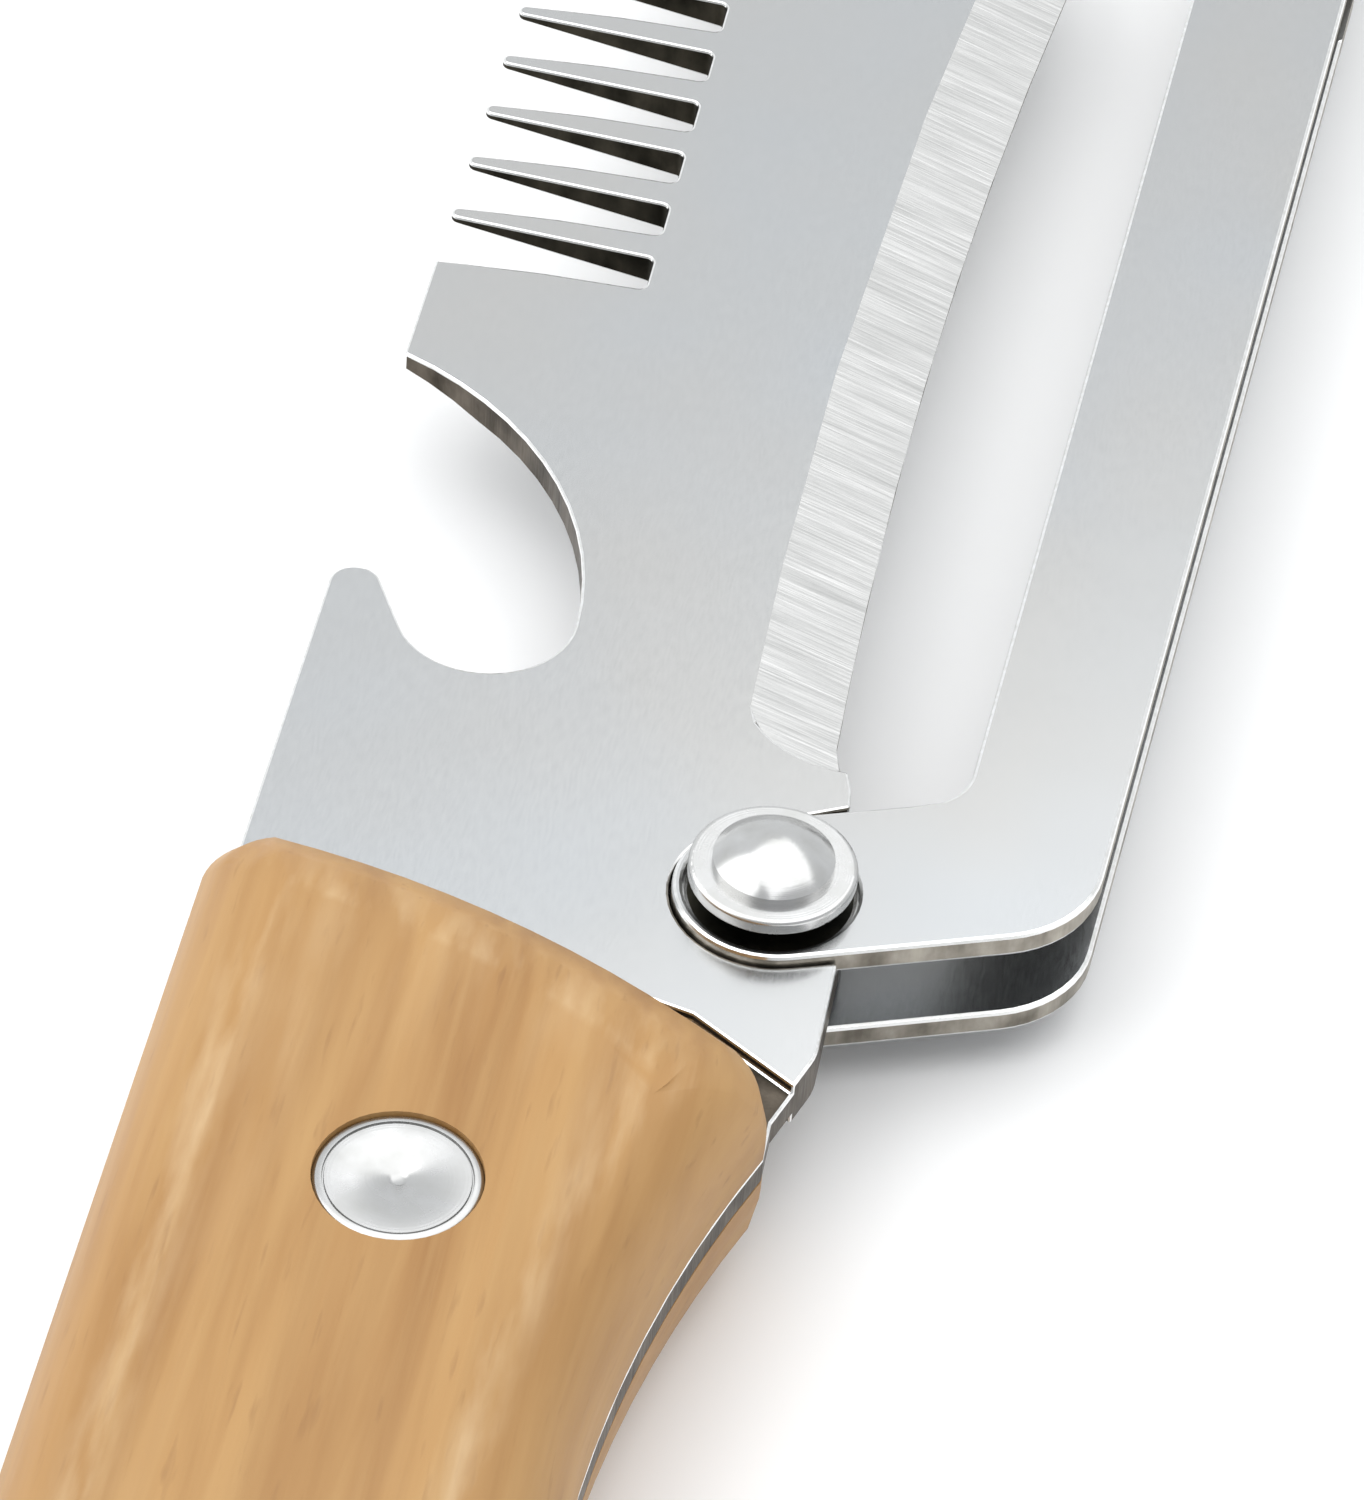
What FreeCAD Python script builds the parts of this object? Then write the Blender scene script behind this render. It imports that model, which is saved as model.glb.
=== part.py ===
import FreeCAD, Part
import math
import os
import re

import Sketcher

# A stable multi-tool with a riveted wooden grip. One flat steel plate carries a knife
# edge on its right side, and a mane comb and a rounded hook in its back. A folded steel
# arm with a blunt hoof pick at its end swings on a rivet beside the knife edge.
#
# Frame, in millimetres: the tool lies on its rear scale. +Y runs from the grip to the nose,
# +X from the back to the knife edge and +Z out of the front face. The origin is on the
# surface it lies on, under the middle of the whole tool. The sketches are drawn about the
# pivot's axis, with their zero height in the plate's front face, and each piece is then
# moved there by its Placement.

SIZES = (
    # the plate
    ("plate_thickness", 2.2, "plate at the heel and pivot"),
    ("blade_thickness", 1.5, "plate once its back is ground thinner"),
    ("taper_start", 5.0, "height where the back starts to thin"),
    ("taper_end", 16.0, "height where it reaches the blade's thickness"),
    ("back_reach", 21.35, "pivot axis to the straight back"),
    ("belly_radius", 18.0, "radius of the edge's belly"),
    ("nose_turn", 75.0, "how far round the belly goes to the nose, degrees"),
    ("nose_drop", 7.3, "fall of the back from the nose to its corner"),
    ("back_corner", 3.0, "rounding of the back's top corner"),
    ("heel_reach", 3.25, "pivot axis to the heel's right side"),
    ("heel_drop", 8.4, "pivot axis down to the heel's corner"),
    ("heel_round", 3.0, "rounding of the heel's corner"),
    ("heel_chamfer", 3.6, "fall of the heel's slant to the grip"),
    ("heel_top", 2.0, "pivot axis down to the top of the heel's upright side"),
    ("choil_round", 2.0, "rounding of the corner under the edge"),
    ("choil_reach", 2.25, "pivot axis to the corner under the edge"),
    ("choil_height", 6.9, "height of that corner"),
    # the knife edge
    ("edge_reach", 1.05, "pivot axis to the hollow of the edge"),
    ("edge_waist", 20.0, "height of the edge's deepest point"),
    ("edge_sweep", 385.0, "radius of the hollow edge"),
    ("edge_start", 10.6, "height where the edge begins"),
    ("edge_end", 66.0, "height where the hollow edge turns into the belly"),
    ("grind_width", 3.8, "width of the ground bevel"),
    ("grind_depth", 1.35, "depth of the bevel at the edge"),
    ("grind_foot", 7.95, "height where the bevel runs out"),
    ("grind_runout", 5.0, "radius of its run-out there"),
    ("runout_rise", 3.8, "height of that run-out"),
    ("runout_inset", 0.3, "how far behind the bevel's back it ends"),
    ("runout_start", 0.2, "how far behind the choil's corner it starts"),
    ("grind_margin", 0.9, "room left behind the bevel for the wheel"),
    # the rounded hook in the back
    ("hook_centre", 14.05, "height of the hook's throat"),
    ("hook_throat", 10.65, "pivot axis to the deepest point of the throat"),
    ("hook_radius", 3.8, "radius of the throat's floor"),
    ("hook_sweep", 17.2, "radius of the throat's long side"),
    ("hook_lean", 28.0, "lean of the hook's inner side, degrees"),
    ("hook_tip_height", 15.58, "height of the hook's tip"),
    ("hook_tip_width", 1.8, "width of the hook's tip"),
    ("hook_tip_round", 0.97, "rounding of the tip, as a share of a full round"),
    # the comb
    ("comb_foot", 37.1, "height of the comb's lower shoulder"),
    ("comb_pitch", 4.0, "tooth to tooth"),
    ("comb_gaps", 10, "number of gaps"),
    ("comb_gap", 2.3, "gap between two teeth at the root"),
    ("comb_root", 11.8, "pivot axis to the roots of the gaps"),
    ("comb_tip_thickness", 0.4, "steel at the tips of the teeth, ground thin from behind"),
    ("comb_fade", 22.0, "height where that grinding begins, past the hook"),
    ("comb_gap_round", 0.4, "corners at the root of a gap"),
    ("tooth_rise", 0.074, "slope of a tooth's lower side"),
    ("tooth_fall", 0.058, "slope of a tooth's upper side near its tip"),
    ("tooth_straight", 4.7, "length of the upper side before it falls"),
    ("tooth_round", 0.36, "rounding of a tooth's tip"),
    # the grip
    ("tang_step", 0.45, "depth of the step from plate to tang on each face"),
    ("step_low", 14.0, "pivot axis to the step at the heel"),
    ("step_high", 2.35, "pivot axis to the step at the back"),
    ("step_turn_x", 1.9, "where the step bends, behind the pivot axis"),
    ("step_turn_y", 7.3, "and below it"),
    ("grip_left", 22.2, "pivot axis to the grip's back"),
    ("grip_end", 106.0, "pivot axis to the end of the grip"),
    ("grip_front", 3.55, "pivot axis to the grip's front, at the back"),
    ("grip_shoulder", 14.0, "pivot axis to the grip's front, at the edge side"),
    ("grip_reach", 2.05, "pivot axis to the grip's edge side at its front"),
    ("waist_drop", 32.0, "pivot axis to the waist"),
    ("waist_depth", 1.8, "waist behind the pivot axis"),
    ("waist_rise", 60.0, "radius of the waist towards the front"),
    ("waist_fall", 133.0, "radius of the waist towards the palm"),
    ("palm_drop", 62.0, "pivot axis to the start of the palm swell"),
    ("palm_round", 66.0, "radius of the palm swell"),
    ("palm_reach", 1.6, "palm swell in front of the pivot axis"),
    ("tail_gap", 11.0, "end of the palm swell to the end of the grip"),
    ("tail_reach", 0.8, "grip's edge side there"),
    ("butt_inset", 1.5, "butt corner behind the pivot axis"),
    ("butt_round", 8.0, "rounding of the butt's corners"),
    ("front_bow", 46.0, "radius of the grip's front end"),
    ("front_round", 4.0, "its rounding at the edge side"),
    ("front_run", 3.4, "length of that rounding along the grip"),
    ("front_cross", 1.65, "and across it"),
    ("back_round", 2.9, "its rounding at the back"),
    ("back_run", 2.7, "length of that rounding along the grip"),
    ("back_cross", 2.3, "and across it"),
    ("scale_thickness", 5.45, "each wooden scale"),
    ("scale_land", 0.9, "upright side of a scale next to the tang"),
    ("side_fall", 4.2, "width of the soft round-over along a scale's sides"),
    ("front_fall", 5.5, "its width at the front scale's front end"),
    ("rear_front_fall", 2.6, "its width at the rear scale's front end"),
    ("corner_left", 0.4, "rounding left at the corners of a scale's flat face"),
    # the two-piece rivets of the grip
    ("rivet_x", 10.6, "rivet axes behind the pivot axis"),
    ("rivet_first", 23.0, "pivot axis to the first rivet"),
    ("rivet_last", 18.0, "last rivet to the end of the grip"),
    ("rivet_head", 3.25, "radius of a rivet head"),
    ("rivet_head_thickness", 1.2, "thickness of a rivet head"),
    ("rivet_stem", 2.2, "radius of the sleeve's stem"),
    ("rivet_core", 1.3, "radius of the post inside the sleeve"),
    ("rivet_sink", 0.12, "head below the wood's face"),
    ("rivet_bevel", 0.3, "bevel round a head"),
    ("rivet_room", 1.0, "room left at the end of a sleeve"),
    # the pivot
    ("pivot_radius", 1.6, "radius of the pivot rivet's shank"),
    ("running_gap", 0.05, "play between the arm and what it turns on"),
    ("head_radius", 2.47, "radius of the pivot rivet's head"),
    ("head_height", 1.35, "height of its dome"),
    ("head_rim", 0.35, "upright part of its rim"),
    ("tail_radius", 2.17, "radius of the formed head behind"),
    ("tail_height", 0.85, "height of the formed head behind"),
    ("tail_rim", 0.25, "upright part of its rim"),
    ("washer_radius", 3.43, "radius of the large washers"),
    ("washer_thickness", 0.75, "thickness of the large washers"),
    ("washer_round", 0.2, "rounding of a washer's rim"),
    ("collar_radius", 2.4, "radius of the collar under the front washer"),
    ("collar_thickness", 0.9, "thickness of that collar"),
    ("spacer_radius", 3.2, "radius of the spacer behind the plate"),
    # the arm
    ("arm_thickness", 1.1, "steel of the folded arm"),
    ("arm_proud", 0.45, "arm's front face above the plate's"),
    ("arm_gap", 3.25, "space between the arm's two sides"),
    ("hub_radius", 4.0, "radius of the arm round the pivot"),
    ("hub_recess", 3.55, "radius of the recess round the front washer"),
    ("hub_recess_depth", 0.35, "depth of that recess"),
    ("seat_gap", 0.1, "play round the arm in its seat in the plate"),
    ("bar_slope", 21.0, "rise of the arm's lower bar, degrees"),
    ("limb_reach", 12.85, "pivot axis to the arm's outer corner"),
    ("limb_lean", 3.65, "lean of the arm's outer side, degrees"),
    ("window_reach", 6.95, "pivot axis to the arm's inner corner"),
    ("window_lean", 2.8, "lean of the arm's inner side, degrees"),
    ("bar_corner", 5.0, "rounding of the outer corner"),
    ("window_corner", 2.4, "rounding of the inner corner"),
    ("fold_above", 8.0, "start of the fold between the sides, above the edge's end"),
    ("fold_round", 1.5, "outer radius of the fold"),
    ("arm_above", 10.46, "top of the arm above the nose"),
    ("pick_above", 2.66, "underside of the pick above the nose"),
    ("pick_round", 9.0, "rounding of the pick's outer bend"),
    ("pick_throat", 3.5, "rounding of its inner bend"),
    ("pick_tip", 1.0, "pivot axis to the pick's tip, sideways"),
    ("tip_top_above", 7.86, "the tip's upper corner above the nose"),
    ("tip_under_above", 4.66, "the tip's lower corner above the nose"),
    ("pick_tip_round", 0.8, "rounding of the tip's corners"),
    ("close_angle", 6.0, "swing of the arm from open to closed, degrees"),
    ("stop_play", 0.5, "spare swing before the steel stops it, degrees"),
    # the shapes that cut
    ("overrun", 5.0, "how far a cutting shape reaches past the steel or wood"),
)

doc = FreeCAD.newDocument("hoof_pick")
sheet = doc.addObject("Spreadsheet::Sheet", "Sizes")
for row, (alias, number, meaning) in enumerate(SIZES, 1):
    sheet.set(f"A{row}", meaning)
    sheet.set(f"B{row}", str(number))
    sheet.setAlias(f"B{row}", alias)
doc.recompute()

ALIASES = re.compile(r"\b(" + "|".join(alias for alias, _, _ in SIZES) + r")\b")


def bound(text):
    """The expression `text`, with each size's name pointing at its cell."""
    return ALIASES.sub(r"Sizes.\1", str(text))


def value(text):
    """What the expression `text` comes to now."""
    return float(sheet.evalExpression(bound(text)))


def new_body(name):
    """An empty body named and labelled `name`."""
    body = doc.addObject("PartDesign::Body", name)
    body.Label = name
    return body


def new_sketch(body, name, plane="XY_Plane", lift=None):
    """A sketch on one of the body's origin planes, moved `lift` along its normal."""
    sketch = body.newObject("Sketcher::SketchObject", body.Name + "_" + name)
    origin_plane = [part for part in body.Origin.OriginFeatures if part.Role == plane][0]
    sketch.AttachmentSupport = [(origin_plane, "")]
    sketch.MapMode = "FlatFace"
    if lift is not None:
        sketch.setExpression("AttachmentOffset.Base.z", bound(lift))
    return sketch


def fix_point(sketch, geometry, end, x, y):
    """Holds one end of a sketch curve at (x, y)."""
    across = sketch.addConstraint(Sketcher.Constraint("DistanceX", -1, 1, geometry, end, value(x)))
    sketch.setExpression(f"Constraints[{across}]", bound(x))
    along = sketch.addConstraint(Sketcher.Constraint("DistanceY", -1, 1, geometry, end, value(y)))
    sketch.setExpression(f"Constraints[{along}]", bound(y))


def fix_radius(sketch, geometry, radius):
    """Holds the radius of a circle or arc."""
    index = sketch.addConstraint(Sketcher.Constraint("Radius", geometry, value(radius)))
    sketch.setExpression(f"Constraints[{index}]", bound(radius))


def add_arc(sketch, start, finish, radius, turns_left):
    """An arc between two points. Returns its index and which of its ends comes first."""
    middle = (start + finish) * 0.5
    chord = finish - start
    half = chord.Length / 2
    left = FreeCAD.Vector(-chord.y, chord.x, 0).normalize()
    sagitta_side = left if turns_left else -left
    centre = middle + sagitta_side * math.sqrt(max(radius * radius - half * half, 0.0))
    first, last = (start, finish) if turns_left else (finish, start)
    angle_from = math.atan2(first.y - centre.y, first.x - centre.x)
    angle_to = math.atan2(last.y - centre.y, last.x - centre.x)
    if angle_to <= angle_from:
        angle_to += 2 * math.pi
    circle = Part.Circle(centre, FreeCAD.Vector(0, 0, 1), radius)
    index = sketch.addGeometry(Part.ArcOfCircle(circle, angle_from, angle_to))
    return index, (1 if turns_left else 2)


def add_outline(sketch, corners):
    """A closed outline. Each corner is (x, y), (x, y, rounding) or (x, y, None, bow).

    A bow is the radius of the arc from that corner to the next. It is positive where the
    arc turns left on its way round, and negative where it turns right. A rounded corner
    lies between two straight sides.
    """
    count = len(corners)
    points = [FreeCAD.Vector(value(c[0]), value(c[1]), 0) for c in corners]
    rounding = [c[2] if len(c) > 2 else None for c in corners]
    bow = [c[3] if len(c) > 3 else None for c in corners]
    before = list(points)
    after = list(points)
    for i in range(count):
        if rounding[i] is None:
            continue
        back = (points[i - 1] - points[i]).normalize()
        ahead = (points[(i + 1) % count] - points[i]).normalize()
        setback = value(rounding[i]) / math.tan(back.getAngle(ahead) / 2)
        before[i] = points[i] + back * setback
        after[i] = points[i] + ahead * setback
    sides = []
    for i in range(count):
        start, finish = after[i], before[(i + 1) % count]
        if bow[i] is None:
            index = sketch.addGeometry(Part.LineSegment(start, finish))
            sides.append((index, 1, 2))
        else:
            radius = value(bow[i])
            index, first = add_arc(sketch, start, finish, abs(radius), radius > 0)
            sides.append((index, first, 3 - first))
    for i in range(count):
        incoming, _, in_end = sides[i - 1]
        outgoing, out_end, _ = sides[i]
        x, y = corners[i][0], corners[i][1]
        if rounding[i] is None:
            sketch.addConstraint(
                Sketcher.Constraint("Coincident", incoming, in_end, outgoing, out_end))
            fix_point(sketch, outgoing, out_end, x, y)
        else:
            turns_left = (points[i] - points[i - 1]).cross(points[(i + 1) % count] - points[i]).z > 0
            arc, first = add_arc(sketch, before[i], after[i], value(rounding[i]), turns_left)
            corner = sketch.addGeometry(Part.Point(points[i]), True)
            sketch.addConstraint(Sketcher.Constraint("Tangent", incoming, in_end, arc, first))
            sketch.addConstraint(Sketcher.Constraint("Tangent", outgoing, out_end, arc, 3 - first))
            sketch.addConstraint(Sketcher.Constraint("PointOnObject", corner, 1, incoming))
            sketch.addConstraint(Sketcher.Constraint("PointOnObject", corner, 1, outgoing))
            fix_radius(sketch, arc, rounding[i])
            fix_point(sketch, corner, 1, x, y)
    for i in range(count):
        if bow[i] is not None:
            radius = bow[i] if value(bow[i]) > 0 else f"-({bow[i]})"
            fix_radius(sketch, sides[i][0], radius)
    if sketch.solve() != 0:
        raise RuntimeError(f"{sketch.Name} can't be solved")


def add_circle(sketch, x, y, radius):
    """A circle held at (x, y)."""
    centre = FreeCAD.Vector(value(x), value(y), 0)
    index = sketch.addGeometry(Part.Circle(centre, FreeCAD.Vector(0, 0, 1), value(radius)))
    fix_radius(sketch, index, radius)
    fix_point(sketch, index, 3, x, y)


def pad(body, name, outline, low, high, plane="XY_Plane"):
    """Adds the outline's prism between two heights over the plane."""
    sketch = new_sketch(body, name + "_outline", plane, low)
    add_outline(sketch, outline)
    feature = body.newObject("PartDesign::Pad", body.Name + "_" + name)
    feature.Profile = sketch
    feature.setExpression("Length", bound(f"({high}) - ({low})"))
    doc.recompute()
    return feature


def cut_down(body, name, draw, top, depth, plane="XY_Plane"):
    """Cuts what draw(sketch) drew, from the height `top` down by `depth`."""
    sketch = new_sketch(body, name + "_outline", plane, top)
    draw(sketch)
    removed_from = body.Shape.Volume
    feature = body.newObject("PartDesign::Pocket", body.Name + "_" + name)
    feature.Profile = sketch
    feature.setExpression("Length", bound(depth))
    doc.recompute()
    if feature.Shape.Volume > removed_from - 1e-3:
        raise RuntimeError(f"{feature.Name} removes nothing")
    return feature


def round_edges(body, name, edges, radius):
    """Fillets the named edges of the body's last feature."""
    base = body.Tip
    feature = body.newObject("PartDesign::Fillet", body.Name + "_" + name)
    feature.Base = (base, edges)
    feature.setExpression("Radius", bound(radius))
    doc.recompute()
    return feature


def edges_where(shape, wanted):
    """Names of the shape's edges for which wanted(edge) holds."""
    return [f"Edge{i}" for i, edge in enumerate(shape.Edges, 1) if wanted(edge)]


# ---------------------------------------------------------------- heights of the layers
TANG_FRONT = "-tang_step"
TANG_BACK = "tang_step - plate_thickness"
GRIP_FRONT = "scale_thickness - tang_step"
GRIP_BACK = "tang_step - plate_thickness - scale_thickness"
ARM_FRONT = "arm_proud"
ARM_UNDER = "arm_proud - arm_thickness"
REAR_INNER = "arm_proud - arm_thickness - arm_gap"
REAR_OUTER = "arm_proud - 2 * arm_thickness - arm_gap"
RECESS_FLOOR = "arm_proud - hub_recess_depth"
COLLAR_FOOT = f"{RECESS_FLOOR} + running_gap"
WASHER_FOOT = f"{COLLAR_FOOT} + collar_thickness"
HEAD_FOOT = f"{WASHER_FOOT} + washer_thickness"
REAR_WASHER_TOP = f"{REAR_OUTER} - running_gap"
REAR_WASHER_FOOT = f"{REAR_WASHER_TOP} - washer_thickness"


# ---------------------------------------------------------------- outlines that are shared
def bar_y(x, side):
    """Height of the lower bar's edge at x; side is -1 for its lower edge, 1 for its upper."""
    return f"({x}) * tan(bar_slope) + {side} * hub_radius / cos(bar_slope)"


def limb_x(y):
    """Sideways place of the arm's outer side at a height."""
    return f"limb_reach + ({y} - ({bar_y('limb_reach', -1)})) * tan(limb_lean)"


def window_x(y):
    """Sideways place of the arm's inner side at a height."""
    return f"window_reach + ({y} - ({bar_y('window_reach', 1)})) * tan(window_lean)"


def edge_x(height):
    """Sideways place of the hollow knife edge at a height."""
    return f"edge_reach + edge_sweep - sqrt(edge_sweep^2 - ({height} - edge_waist)^2)"


# The belly's arc goes on from the hollow edge without a corner.
BELLY_TURN = "asin((edge_end - edge_waist) / edge_sweep)"
BELLY_X = f"({edge_x('edge_end')} - belly_radius * cos({BELLY_TURN}))"
BELLY_Y = f"(edge_end + belly_radius * sin({BELLY_TURN}))"
NOSE_X = f"{BELLY_X} + belly_radius * cos(nose_turn)"
NOSE_Y = f"{BELLY_Y} + belly_radius * sin(nose_turn)"

# The arm ends over the nose, so its heights follow the nose.
FOLD_START = "(edge_end + fold_above)"
ARM_HEIGHT = f"({NOSE_Y} + arm_above)"
PICK_UNDER = f"({NOSE_Y} + pick_above)"
TIP_TOP = f"({NOSE_Y} + tip_top_above)"
TIP_UNDER = f"({NOSE_Y} + tip_under_above)"

# A full round at the hook's tip would leave nothing of its flat top.
HOOK_TIP_RADIUS = "hook_tip_round * hook_tip_width / (1 + tan(45 - hook_lean / 2))"

def grip_edge_side(inset):
    """The grip's edge side from the butt up to its front, with waist and palm swell."""
    return [
        (f"-butt_inset - ({inset})", f"-grip_end + ({inset})", f"butt_round - ({inset}) / 2"),
        (f"tail_reach - ({inset})", "-grip_end + tail_gap", None, f"palm_round - ({inset})"),
        (f"palm_reach - ({inset})", "-palm_drop", None, f"-waist_fall - ({inset})"),
        (f"-waist_depth - ({inset})", "-waist_drop", None, f"-waist_rise - ({inset})"),
    ]


def grip_back_side(inset, front):
    """Its back, from the front down to the butt."""
    return [
        (f"-grip_left + ({inset})", f"-grip_front - back_run - ({front}) + ({inset}) / 2"),
        (f"-grip_left + ({inset})", f"-grip_end + ({inset})", f"butt_round - ({inset}) / 2"),
    ]


# The pivot's place in the frame: the tool's middle is at x = 0 and y = 0, its foot at z = 0.
PIVOT_X = f"(grip_left - ({limb_x(ARM_HEIGHT)})) / 2"
PIVOT_Y = f"(grip_end - {ARM_HEIGHT}) / 2"
PIVOT_Z = f"-({GRIP_BACK})"


def put(piece, x="0", y="0"):
    """Moves a piece drawn about the pivot, or about (x, y) from it, to its place."""
    piece.setExpression("Placement.Base.x", bound(f"{PIVOT_X} + ({x})"))
    piece.setExpression("Placement.Base.y", bound(f"{PIVOT_Y} + ({y})"))
    piece.setExpression("Placement.Base.z", bound(PIVOT_Z))
    doc.recompute()
    return piece


def turned(name, profile, x="0", y="0"):
    """A piece turned about Z from a profile of (radius, height) corners."""
    body = new_body(name)
    sketch = new_sketch(body, "profile", "XZ_Plane")
    add_outline(sketch, profile)
    feature = body.newObject("PartDesign::Revolution", name + "_turned")
    feature.Profile = sketch
    feature.ReferenceAxis = (sketch, ["V_Axis"])
    feature.Angle = 360
    return put(body, x, y)


def rivet_y(number):
    """Place of the grip's rivet 0, 1 or 2 along the grip."""
    return f"-rivet_first - {number} * (grip_end - rivet_first - rivet_last) / 2"


RIVET_PLACES = [("front", rivet_y(0)), ("middle", rivet_y(1)), ("rear", rivet_y(2))]


# ---------------------------------------------------------------- the plate
def make_grind(name, edge_at_x, edge_at_y, axis_x, area):
    """What the wheel takes off: a wedge turned about an upright axis, inside an area."""
    ring_body = new_body(name + "_ring")
    wedge = new_sketch(ring_body, "wedge", "XZ_Plane", f"-({edge_at_y})")
    add_outline(wedge, [
        (f"{edge_at_x} - 2 * grind_width", "grind_depth"),
        (f"{edge_at_x} + grind_width", "-2 * grind_depth"),
        (f"{edge_at_x} + grind_width", "grind_depth"),
    ])
    start = FreeCAD.Vector(value(axis_x), 0, 0)
    finish = FreeCAD.Vector(value(axis_x), 10, 0)
    axis = wedge.addGeometry(Part.LineSegment(start, finish), True)
    fix_point(wedge, axis, 1, axis_x, "0")
    fix_point(wedge, axis, 2, axis_x, "10")
    turn = ring_body.newObject("PartDesign::Revolution", name + "_turn")
    turn.Profile = wedge
    turn.ReferenceAxis = (wedge, ["Axis0"])
    turn.Angle = 360
    area_body = new_body(name + "_area")
    pad(area_body, "area", area, "-overrun", "overrun")
    wheel = doc.addObject("Part::Common", name)
    wheel.Base = ring_body
    wheel.Tool = area_body
    return wheel


def cut_away(name, base, tool):
    """The base with the tool's shape removed, labelled `name`."""
    result = doc.addObject("Part::Cut", name)
    result.Label = name
    result.Base = base
    result.Tool = tool
    doc.recompute()
    return result


def loft(body, name, sections, adds):
    """Joins outlines at several heights with straight faces, as material or as a cut."""
    sketches = []
    for number, (plane, lift, outline) in enumerate(sections):
        sketch = new_sketch(body, f"{name}_section_{number}", plane, lift)
        add_outline(sketch, outline)
        sketches.append(sketch)
    kind = "PartDesign::AdditiveLoft" if adds else "PartDesign::SubtractiveLoft"
    feature = body.newObject(kind, body.Name + "_" + name)
    feature.Profile = sketches[0]
    feature.Sections = sketches[1:]
    feature.Ruled = True
    doc.recompute()
    return feature


def thin_the_comb(body):
    """Grinds the comb's strip thin from behind: a plane that falls to the tooth tips.

    The grinding fades out towards the hook, so its start is a second, slanting plane.
    """
    slope = "((blade_thickness - comb_tip_thickness) / (back_reach - comb_root))"
    left = "-back_reach - overrun"
    foot = "-blade_thickness - overrun"

    def wedge(root):
        return [
            (f"-({root}) + overrun / {slope}", foot),
            (left, f"-blade_thickness + {slope} * (back_reach + overrun - ({root}))"),
            (left, foot),
        ]
    loft(body, "comb_fade", [
        ("XZ_Plane", "-comb_foot", wedge("comb_root")),
        ("XZ_Plane", "-comb_fade", wedge("back_reach")),
    ], False)

    def strip(sketch):
        add_outline(sketch, wedge("comb_root"))
    cut_down(body, "comb_thinning", strip, "-comb_foot", f"{NOSE_Y} + overrun - comb_foot",
             "XZ_Plane")


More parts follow.
